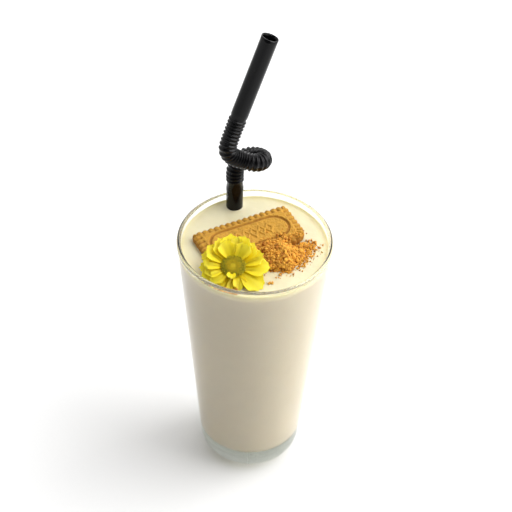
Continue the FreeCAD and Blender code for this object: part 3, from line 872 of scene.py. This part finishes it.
class MILKSHAKE_OT_biscuit(bpy.types.Operator):
    """Add the fluted oblong biscuit"""
    bl_idname = "milkshake.biscuit"
    bl_label = "Biscuit"

    def execute(self, context):
        s = context.scene.milkshake_biscuit
        base = BISCUIT_LOW.z
        thickness = BISCUIT_HIGH.z - s.lozenge_height - base
        columns, rows, drops = BISCUIT_COLUMNS, BISCUIT_ROWS, BISCUIT_DROPS
        points, brown_and_shade = [], []
        for row in range(rows + 1):
            for column in range(columns + 1):
                x, y, edge, wave = biscuit_edge(
                    s, (column / columns - 0.5) * s.length, (row / rows - 0.5) * s.width)
                height, value = biscuit_top(s, x, y, edge, wave, thickness)
                points.append(Vector((x, y, height)))
                brown_and_shade.append(value)
        faces, rim = grid(rows, columns)
        ring = rim
        for drop in range(1, drops + 1):
            share = drop / drops
            swell = 0.0004 * math.sin(math.pi * share) - 0.0006 * share**4
            lower = []
            for number in rim:
                top = points[number]
                rough = 0.00018 * grain(top.x, top.y, share * 0.006, 0.0016)
                out = Vector((top.x, top.y, 0)).normalized() * (swell + rough)
                lower.append(len(points))
                points.append(Vector((top.x, top.y, top.z * (1 - share))) + out)
                # The side is darker towards the bottom.
                brown_and_shade.append(0.55 + 0.35 * share)
            for step, number in enumerate(ring):
                after = (step + 1) % len(ring)
                faces.append((ring[after], number, lower[step], lower[after]))
            ring = lower
        faces.append(tuple(reversed(ring)))
        place = Matrix.Translation(biscuit_middle(context)) @ Matrix.Rotation(s.turn, 4, "Z")
        piece = new_piece("biscuit_fluted", [place @ point for point in points], faces)
        paint_value(piece, "browning_and_shade", brown_and_shade)
        place_piece(piece, biscuit_finish(s.light, s.dark), "baked_biscuit", "biscuit")
        return {"FINISHED"}


def biscuit_middle(context):
    """Centre of the biscuit's underside."""
    s = context.scene.milkshake_biscuit
    return Vector((-s.left, s.back, BISCUIT_LOW.z))


# ---------------------------------------------------------------- flower


def petal_finish(colour, pale):
    """Soft yellow petals: deeper at the root, pale at the end, light shining through."""
    finish = Finish("Yellow Petals")
    along = finish.attribute("along")
    streak = finish.attribute("streak")
    tone = finish.ramp(along, (0.0, (0.62, 0.36, 0.001)), (0.27, colour), (1.0, pale))
    tone = finish.mix(finish.spread(streak, 0.0, 0.22), tone, shade(colour, 0.75))
    part = finish.spread(finish.each_part(), 0.0, 0.22)
    tone = finish.mix(part, tone, shade(pale, 1.05))
    finish.set(
        Base_Color=tone, Roughness=finish.spread(streak, 0.42, 0.6),
        Specular_IOR_Level=0.2,
        Subsurface_Weight=0.5, Subsurface_Scale=0.004, Subsurface_Radius=(1.0, 0.85, 0.1),
        Normal=finish.bump(finish.noise(0.0006, detail=3), 0.00003))
    return finish.material


def floret_finish(colour):
    """Mustard-green florets of the disc."""
    finish = Finish("Flower Disc")
    part = finish.each_part()
    out = finish.attribute("outwards")
    tone = finish.ramp(
        out, (0.0, shade(colour, 1.15)), (0.45, colour), (0.80, (0.16, 0.17, 0.004)),
        (1.0, (0.30, 0.28, 0.006)))
    finish.set(
        Base_Color=finish.mix(finish.spread(part, 0, 0.5), tone, shade(colour, 1.5)),
        Roughness=0.6, Specular_IOR_Level=0.2, Subsurface_Weight=0.15,
        Subsurface_Scale=0.001,
        Normal=finish.bump(finish.noise(0.0003, detail=2), 0.00003))
    return finish.material


def flower_place(context):
    """Turn and place of the flower."""
    s = context.scene.milkshake_flower
    centre = Vector((-s.left, -s.front, MILK_HIGH.z + s.above_milk))
    return Matrix.Translation(centre) @ Matrix.Rotation(s.tilt, 4, "X")


def petal_sheet(draw, length, width, root, lift, rise, bend, cup):
    """A thin petal along +X: (points, faces, along, streak)."""
    skew = draw.uniform(-0.05, 0.05)
    twist = draw.uniform(-0.12, 0.12)
    teeth = draw.choice((1.0, 1.5, 1.5))
    tooth_depth = draw.uniform(0.04, 0.10)
    phase = draw.uniform(0, 6)
    top, along, streak = [], [], []
    for row in range(PETAL_ROWS + 1):
        share = row / PETAL_ROWS
        half = width / 2 * (0.26 + 0.74 * math.sin(math.pi / 2 * min(1, share / 0.72)) ** 1.2)
        half *= 1 - 0.30 * smooth_step(0.80, 1.0, share)
        for column in range(PETAL_COLUMNS + 1):
            across = 2 * column / PETAL_COLUMNS - 1
            tip = 1 - 0.20 * abs(across) ** 2.6 * share
            tip -= tooth_depth * share**8 * abs(math.sin(math.pi * teeth * across))
            reach = length * share * tip
            flow = rise - bend * share
            x = root + reach * math.cos(rise - bend * share / 2)
            z = lift + reach * math.sin(rise - bend * share / 2)
            rib = math.cos(math.pi * 2.5 * across)
            z += cup * half * across**2 * math.cos(flow) + 0.00012 * rib * math.sin(math.pi * share)
            x -= cup * half * across**2 * math.sin(flow)
            y = across * half + skew * reach + twist * across * z * 0.1
            z += 0.0004 * math.sin(phase + 5 * share + 2 * across) * share
            top.append(Vector((x, y, z)))
            along.append(share)
            streak.append(0.5 - 0.5 * rib)
    count = len(top)
    normals = [Vector((0, 0, 0)) for _ in top]
    faces, rim = grid(PETAL_ROWS, PETAL_COLUMNS)
    faces = [(a, d, c, b) for a, b, c, d in faces]
    for face in faces:
        a, b, c, d = (top[corner] for corner in face)
        normal = (c - a).cross(d - b)
        for corner in face:
            normals[corner] += normal
    bottom = []
    for point, normal in zip(top, normals):
        bottom.append(point + normal.normalized() * PETAL_THICKNESS)
    back = [tuple(corner + count for corner in reversed(face)) for face in faces]
    edges = []
    for first, second in zip(rim, rim[1:] + rim[:1]):
        edges.append((second, first, first + count, second + count))
    return top + bottom, faces + back + edges, along * 2, streak * 2


# Each petal: turn from the right in degrees, length, width and root height in millimetres,
# rise at the root and bend to the tip in degrees, and how far its sides lift
PETALS = (
    (158, 15.4, 11.0, 0.2, 12, 14, 0.22), (181, 15.0, 10.0, 0.0, 6, 14, 0.20),
    (203, 15.0, 10.4, 0.0, 5, 13, 0.22), (228, 12.6, 9.8, 0.2, 6, 14, 0.25),
    (252, 10.8, 8.4, 0.1, 4, 14, 0.20), (277, 11.8, 9.6, 0.3, 3, 12, 0.26),
    (300, 13.6, 9.6, 0.1, 2, 12, 0.22), (326, 16.6, 14.6, 0.5, 9, 18, 0.20),
    (357, 16.4, 13.0, 0.7, 15, 16, 0.22), (24, 14.4, 11.4, 0.6, 23, 16, 0.26),
    (48, 14.4, 12.0, 0.9, 31, 18, 0.28), (72, 15.0, 12.8, 1.0, 35, 20, 0.28),
    (97, 15.4, 13.2, 1.0, 35, 20, 0.28), (122, 15.0, 12.8, 0.9, 33, 20, 0.28),
    (145, 14.8, 12.4, 0.8, 26, 18, 0.28), (172, 12.8, 10.6, 0.9, 22, 22, 0.32),
    (197, 12.0, 9.8, 1.0, 18, 26, 0.32), (222, 11.0, 9.4, 1.1, 16, 30, 0.34),
    (60, 11.6, 10.8, 1.5, 44, 26, 0.36), (110, 11.8, 11.2, 1.5, 44, 26, 0.36),
    (262, 5.0, 5.6, 2.6, 62, 70, 0.50), (292, 9.4, 8.4, 0.9, 8, 26, 0.34),
)


def inside_glass(point):
    """A flower's point kept within the glass: what would pass the wall climbs it instead."""
    reach = math.hypot(point.x, point.y)
    room = inner_line(min(point.z, GLASS_HIGH.z)) - PETAL_ROOM
    if reach <= room:
        return point
    return Vector((point.x * room / reach, point.y * room / reach,
                   point.z + 0.7 * (reach - room)))


class MILKSHAKE_OT_flower(bpy.types.Operator):
    """Add the yellow flower: layered petals and a disc of florets"""
    bl_idname = "milkshake.flower"
    bl_label = "Flower"

    def execute(self, context):
        s = context.scene.milkshake_flower
        place = flower_place(context)
        draw = random.Random(PETAL_SEED)
        root = s.disc / 2 - 0.0018
        points, faces, along, streak = [], [], [], []
        for turn, length, width, lift, rise, bend, cup in PETALS:
            made = petal_sheet(
                draw, length * MM, width * MM, root, lift * MM, math.radians(rise),
                math.radians(bend), cup)
            offset = len(points)
            spin = place @ Matrix.Rotation(math.radians(turn), 4, "Z")
            points += [inside_glass(spin @ point) for point in made[0]]
            faces += [tuple(corner + offset for corner in face) for face in made[1]]
            along += made[2]
            streak += made[3]
        piece = new_piece("flower_petals", points, faces)
        paint_value(piece, "along", along)
        paint_value(piece, "streak", streak)
        place_piece(piece, petal_finish(s.petal, s.petal_pale), "yellow_petals", "flower")
        add_disc(context, place)
        return {"FINISHED"}


def add_disc(context, place):
    """The flower's disc: a low dome covered with florets in a sunflower spiral."""
    s = context.scene.milkshake_flower
    draw = random.Random(FLORET_SEED)
    radius = s.disc / 2
    golden = math.pi * (3 - math.sqrt(5))
    dome = rounded_outline((
        (0, 0.0004 - s.above_milk, 0), (0.0030, 0.0004 - s.above_milk, 0.0006),
        (0.0036, -0.0012, 0.0006), (radius, 0.0008, 0.0006),
        (radius * 0.93, s.disc_height, 0.0012), (0, s.disc_height + 0.0004, 0)), longest=0.001)
    points, faces = lathe(dome, 48)
    outwards = [min(1.0, math.hypot(point.x, point.y) / radius) for point in points]
    for index in range(s.florets):
        share = math.sqrt((index + 0.5) / s.florets)
        angle = index * golden
        centre = Vector((math.cos(angle), math.sin(angle), 0)) * radius * share * 0.97
        centre.z = s.disc_height - 0.0004 - 0.0010 * share**6 + 0.0005 * math.sin(3 * share)
        out = Vector((math.cos(angle), math.sin(angle), 0))
        up = (Vector((0, 0, 1)) + out * 0.55 * share**2).normalized()
        side = up.cross(out).normalized()
        other = side.cross(up)
        size = FLORET_WIDTH * (0.75 + 0.45 * share) * draw.uniform(0.85, 1.15)
        tall = FLORET_HEIGHT * (0.7 + 0.9 * share**3) * draw.uniform(0.8, 1.2)
        offset = len(points)
        for grow, rise in FLORET_RINGS:
            for step in range(FLORET_SIDES):
                spin = 2 * math.pi * step / FLORET_SIDES
                ring = side * math.cos(spin) + other * math.sin(spin)
                points.append(centre + ring * size * grow + up * tall * rise)
                outwards.append(share)
        faces += ring_faces(offset, len(FLORET_RINGS), FLORET_SIDES)
        faces.append(tuple(range(len(points) - FLORET_SIDES, len(points))))
    piece = new_piece("flower_disc", [place @ point for point in points], faces)
    paint_value(piece, "outwards", outwards)
    place_piece(piece, floret_finish(s.floret), "flower_disc")


# ---------------------------------------------------------------- crumbs


def crumb_finish(light, dark):
    """Crumbs of the same biscuit, each with its own tone."""
    finish = Finish("Biscuit Crumbs")
    tone = finish.ramp(
        finish.each_part(), (0.0, dark), (0.35, shade(light, 0.72)), (0.75, light),
        (1.0, shade(light, 1.12)))
    mottle = finish.noise(0.0007, detail=4)
    finish.set(
        Base_Color=finish.mix(finish.spread(mottle, 0, 0.6, 0.4, 0.7), tone, shade(dark, 1.2)),
        Roughness=finish.spread(mottle, 0.7, 0.9), Specular_IOR_Level=0.3,
        Subsurface_Weight=0.08, Subsurface_Scale=0.0006,
        Normal=finish.bump(finish.noise(0.00035, detail=3), 0.0001))
    return finish.material


def heap_reach(angle):
    """Uneven outline of the heap, about 1, by a sum of sines."""
    wobble = math.sin(3 * angle + 0.6) + 0.7 * math.sin(5 * angle + 2.1)
    return 1 + 0.07 * (wobble + 0.5 * math.sin(8 * angle))


def heap_height(s, x, y):
    """Height of the heap over the drink at a place in the heap's own directions."""
    u, v = x / (s.heap_length / 2), y / (s.heap_width / 2)
    share = math.hypot(u, v) / heap_reach(math.atan2(v, u))
    if share >= 1:
        return 0.0
    thin = 1 - 0.45 * smooth_step(0.1, 0.9, u)
    lumps = 1 + 0.32 * grain(x, y, 0.02, 0.0065, 2)
    rise = min(1.0, math.acos(share ** 1.333) / math.radians(80))
    return s.heap_height * rise * thin * lumps


def crumb_shape(draw, fine):
    """A small angular lump about 1 across: (points, faces)."""
    ratio = (1 + math.sqrt(5)) / 2
    base = ((-1, ratio, 0), (1, ratio, 0), (-1, -ratio, 0), (1, -ratio, 0),
            (0, -1, ratio), (0, 1, ratio), (0, -1, -ratio), (0, 1, -ratio),
            (ratio, 0, -1), (ratio, 0, 1), (-ratio, 0, -1), (-ratio, 0, 1))
    faces = ((0, 11, 5), (0, 5, 1), (0, 1, 7), (0, 7, 10), (0, 10, 11), (1, 5, 9), (5, 11, 4),
             (11, 10, 2), (10, 7, 6), (7, 1, 8), (3, 9, 4), (3, 4, 2), (3, 2, 6), (3, 6, 8),
             (3, 8, 9), (4, 9, 5), (2, 4, 11), (6, 2, 10), (8, 6, 7), (9, 8, 1))
    points = [Vector(point).normalized() * 0.5 * draw.uniform(0.62, 1.15) for point in base]
    stretch = Vector((draw.uniform(0.7, 1.35), draw.uniform(0.7, 1.2), draw.uniform(0.55, 1.0)))
    points = [Vector((p.x * stretch.x, p.y * stretch.y, p.z * stretch.z)) for p in points]
    if not fine:
        return points, faces
    split = {}
    halved = []

    def middle(a, b):
        """Number of the point half-way along an edge, pushed out a little at random."""
        key = (min(a, b), max(a, b))
        if key not in split:
            split[key] = len(points)
            points.append((points[a] + points[b]) / 2 * draw.uniform(0.95, 1.22))
        return split[key]

    for a, b, c in faces:
        ab, bc, ca = middle(a, b), middle(b, c), middle(c, a)
        halved += [(a, ab, ca), (ab, b, bc), (ca, bc, c), (ab, bc, ca)]
    return points, halved


# Each spill: how far right and back its middle is and its spread in millimetres, how many
# crumbs it has, and its largest crumb in millimetres
SPILLS = (
    (28.5, -1.0, 3.4, 330, 2.0), (33.0, 2.5, 2.2, 60, 1.7), (36.5, 0.5, 1.8, 16, 1.8),
    (40.0, 1.5, 1.0, 4, 1.9), (37.0, -6.0, 1.6, 6, 1.6), (33.5, -7.5, 1.4, 6, 1.5),
    (29.0, -9.0, 3.0, 120, 1.9), (27.0, -16.0, 2.2, 36, 1.9), (14.0, -25.5, 1.2, 12, 2.0),
    (9.6, -31.5, 0.9, 9, 2.0), (5.5, -21.0, 1.6, 12, 1.3), (20.0, -21.0, 2.4, 40, 1.6),
    (4.0, -8.0, 2.4, 40, 1.6), (-23.5, -35.8, 1.4, 110, 2.2), (-18.0, -39.0, 1.4, 130, 2.2),
    (-12.0, -41.0, 1.4, 90, 2.1), (8.0, -1.0, 3.0, 70, 1.3), (16.0, 2.5, 3.4, 120, 1.6),
    (23.5, 5.0, 2.6, 60, 1.4),
)


def crumb_size(s, draw):
    """A size between the smallest and largest, with many more small ones."""
    return s.smallest + (s.largest - s.smallest) * draw.random() ** 2.4


def scatter(name, places, draw):
    """One mesh with a crumb at each (centre, size)."""
    coarse = [crumb_shape(draw, fine=False) for _ in range(CRUMB_SHAPES)]
    fine = [crumb_shape(draw, fine=True) for _ in range(CRUMB_SHAPES)]
    points, faces = [], []
    for centre, size in places:
        shapes = fine if size > FINE_CRUMB else coarse
        shape_points, shape_faces = shapes[draw.randrange(CRUMB_SHAPES)]
        spin = Matrix.Rotation(draw.uniform(0, 6.28), 3, "X")
        spin = Matrix.Rotation(draw.uniform(0, 6.28), 3, "Z") @ spin
        offset = len(points)
        points += [centre + spin @ point * size for point in shape_points]
        faces += [(a + offset, b + offset, c + offset) for a, b, c in shape_faces]
    return new_piece(name, points, faces, smooth=False)


def biscuit_here(context, x, y):
    """True over the biscuit."""
    s = context.scene.milkshake_biscuit
    off = Matrix.Rotation(-s.turn, 2) @ Vector((x + s.left, y - s.back))
    return abs(off.x) < s.length / 2 - 0.0006 and abs(off.y) < s.width / 2 - 0.0006


def ground(context, x, y):
    """Height of what a crumb would land on: the biscuit's face or the drink."""
    if biscuit_here(context, x, y):
        return BISCUIT_HIGH.z - 0.0008
    return milk_height(context, x, y)


class MILKSHAKE_OT_crumbs(bpy.types.Operator):
    """Add the heap of biscuit crumbs and the loose crumbs round it"""
    bl_idname = "milkshake.crumbs"
    bl_label = "Crumbs"

    def execute(self, context):
        s = context.scene.milkshake_crumbs
        draw = random.Random(CRUMB_SEED)
        material = crumb_finish(s.light, s.dark)
        middle = Vector((s.heap_right, -s.heap_front, 0))
        turn = Matrix.Rotation(s.heap_turn, 3, "Z")
        base = MILK_HIGH.z
        rings, segments = CORE_RINGS, CORE_SIDES
        points = []
        for ring in range(rings + 1):
            for step in range(segments):
                angle = 2 * math.pi * step / segments
                share = ring / rings * 0.97 * heap_reach(angle)
                local = Vector((math.cos(angle) * share * s.heap_length / 2,
                                math.sin(angle) * share * s.heap_width / 2, 0))
                height = heap_height(s, local.x, local.y) * 0.9 - 0.0006
                spot = turn @ local + middle
                height += 0.0007 * grain(spot.x, spot.y, 0, 0.0018, 3)
                points.append(Vector((spot.x, spot.y, base + max(height, -0.0008))))
        faces = [(a, d, c, b) for a, b, c, d in ring_faces(0, rings + 1, segments)]
        faces.append(tuple(range(segments)))
        faces.append(tuple(reversed(range(rings * segments, (rings + 1) * segments))))
        core = new_piece("crumb_heap_core", points, faces)
        place_piece(core, material, "biscuit_crumbs", "crumb_heap")
        places = []
        while len(places) < s.heaped:
            angle = draw.uniform(0, 2 * math.pi)
            share = math.sqrt(draw.random()) * 1.04
            local = Vector((math.cos(angle) * share * s.heap_length / 2,
                            math.sin(angle) * share * s.heap_width / 2, 0))
            local *= heap_reach(angle)
            size = crumb_size(s, draw)
            spot = turn @ local + middle
            height = max(base + heap_height(s, local.x, local.y) * 0.9,
                         ground(context, spot.x, spot.y))
            spot.z = height + size * draw.uniform(-0.1, 0.35)
            places.append((spot, size))
        heaped = scatter("crumbs_heaped", places, draw)
        place_piece(heaped, material, "biscuit_crumbs")
        places = []
        for right, back, spread, count, largest in SPILLS:
            for _ in range(round(count * s.spilt)):
                x = right * MM + draw.gauss(0, spread * MM)
                y = back * MM + draw.gauss(0, spread * MM)
                room = inner_line(base) - CRUMB_ROOM
                if math.hypot(x, y) > room:
                    x, y = Vector((x, y)).normalized() * room
                size = s.smallest + (largest * MM - s.smallest) * draw.random() ** 1.6
                places.append((Vector((x, y, ground(context, x, y) + size * 0.2)), size))
        loose = scatter("crumbs_loose", places, draw)
        place_piece(loose, material, "biscuit_crumbs")
        return {"FINISHED"}


# ---------------------------------------------------------------- stage


def floor_finish():
    """Plain near-white paper."""
    finish = Finish("Pale Floor")
    fibre = finish.noise(0.002, detail=4)
    finish.set(
        Base_Color=finish.mix(fibre, (0.95, 0.95, 0.95), (0.97, 0.97, 0.97)), Roughness=0.9,
        Specular_IOR_Level=0.1)
    return finish.material


def area_light(name, place, aim, size, power):
    """A square soft light at a place, turned to a point."""
    light = bpy.data.lights.new(name, "AREA")
    light.shape = "SQUARE"
    light.size = size
    light.energy = power
    holder = bpy.data.objects.new(name, light)
    holder.location = place
    holder.rotation_euler = (aim - Vector(place)).to_track_quat("-Z", "Y").to_euler()
    bpy.context.scene.collection.objects.link(holder)
    return holder


def surround(strength):
    """White studio all round, with a dark room high up in front, which glossy things show."""
    world = bpy.data.worlds.new("surround")
    world.use_nodes = True
    nodes, links = world.node_tree.nodes, world.node_tree.links
    way = nodes.new("ShaderNodeTexCoord").outputs["Generated"]
    turn = nodes.new("ShaderNodeVectorMath")
    turn.operation = "DOT_PRODUCT"
    turn.inputs[1].default_value = DARK_WAY
    links.new(way, turn.inputs[0])
    fade = nodes.new("ShaderNodeMapRange")
    fade.interpolation_type = "SMOOTHSTEP"
    fade.inputs["From Min"].default_value = DARK_FROM
    fade.inputs["From Max"].default_value = DARK_FULL
    fade.inputs["To Min"].default_value = strength
    fade.inputs["To Max"].default_value = strength * 0.08
    links.new(turn.outputs["Value"], fade.inputs["Value"])
    links.new(fade.outputs["Result"], nodes["Background"].inputs["Strength"])
    nodes["Background"].inputs["Color"].default_value = (1, 1, 1, 1)
    return world


class MILKSHAKE_OT_stage(bpy.types.Operator):
    """Add the camera, the pale floor and the soft studio light"""
    bl_idname = "milkshake.stage"
    bl_label = "Stage"

    def execute(self, context):
        scene = context.scene
        s = scene.milkshake_stage
        camera = bpy.data.cameras.new("camera")
        camera.sensor_width = 36
        camera.lens = s.lens
        camera.clip_end = 50
        holder = bpy.data.objects.new("camera", camera)
        aim = Vector((s.aim_right, 0, s.aim_height))
        back = Vector((0, -math.cos(s.elevation), math.sin(s.elevation)))
        tilt = Matrix.Rotation(math.pi / 2 - s.elevation, 4, "X")
        roll = Matrix.Rotation(s.roll, 4, "Z")
        holder.matrix_world = Matrix.Translation(aim + back * s.distance) @ tilt @ roll
        scene.collection.objects.link(holder)
        scene.camera = holder
        half = FLOOR_HALF
        corners = ((-half, -half, 0), (half, -half, 0), (half, half, 0), (-half, half, 0))
        floor = new_piece("floor", corners, [(0, 1, 2, 3)], smooth=False)
        floor.data.materials.append(floor_finish())
        middle = Vector((0, 0, GLASS_HIGH.z / 2))
        area_light("key", KEY_PLACE, middle, KEY_WIDTH, s.key)
        area_light("top", TOP_PLACE, middle, TOP_WIDTH, s.top)
        scene.world = surround(s.world)
        scene.view_settings.view_transform = "Standard"
        return {"FINISHED"}


# ---------------------------------------------------------------- add-on


class MILKSHAKE_PT_panel(bpy.types.Panel):
    """Buttons for each piece, with its settings below"""
    bl_label = "Milkshake"
    bl_idname = "MILKSHAKE_PT_panel"
    bl_space_type = "VIEW_3D"
    bl_region_type = "UI"
    bl_category = "Milkshake"

    def draw(self, context):
        for operator, (holder, group) in zip(OPERATORS, SETTINGS):
            box = self.layout.box()
            box.operator(operator.bl_idname)
            for name in group.__annotations__:
                box.prop(getattr(context.scene, holder), name)


OPERATORS = (
    MILKSHAKE_OT_glass,
    MILKSHAKE_OT_drink,
    MILKSHAKE_OT_straw,
    MILKSHAKE_OT_biscuit,
    MILKSHAKE_OT_flower,
    MILKSHAKE_OT_crumbs,
    MILKSHAKE_OT_stage,
)


def register():
    for holder, group in SETTINGS:
        bpy.utils.register_class(group)
        setattr(bpy.types.Scene, holder, PointerProperty(type=group))
    for operator in OPERATORS:
        bpy.utils.register_class(operator)
    bpy.utils.register_class(MILKSHAKE_PT_panel)


def unregister():
    bpy.utils.unregister_class(MILKSHAKE_PT_panel)
    for operator in reversed(OPERATORS):
        bpy.utils.unregister_class(operator)
    for holder, group in reversed(SETTINGS):
        delattr(bpy.types.Scene, holder)
        bpy.utils.unregister_class(group)


def main():
    register()
    bpy.ops.milkshake.stage()
    bpy.ops.milkshake.glass()
    bpy.ops.milkshake.drink()
    bpy.ops.milkshake.straw()
    bpy.ops.milkshake.biscuit()
    bpy.ops.milkshake.flower()
    bpy.ops.milkshake.crumbs()


if __name__ == "__main__":
    main()
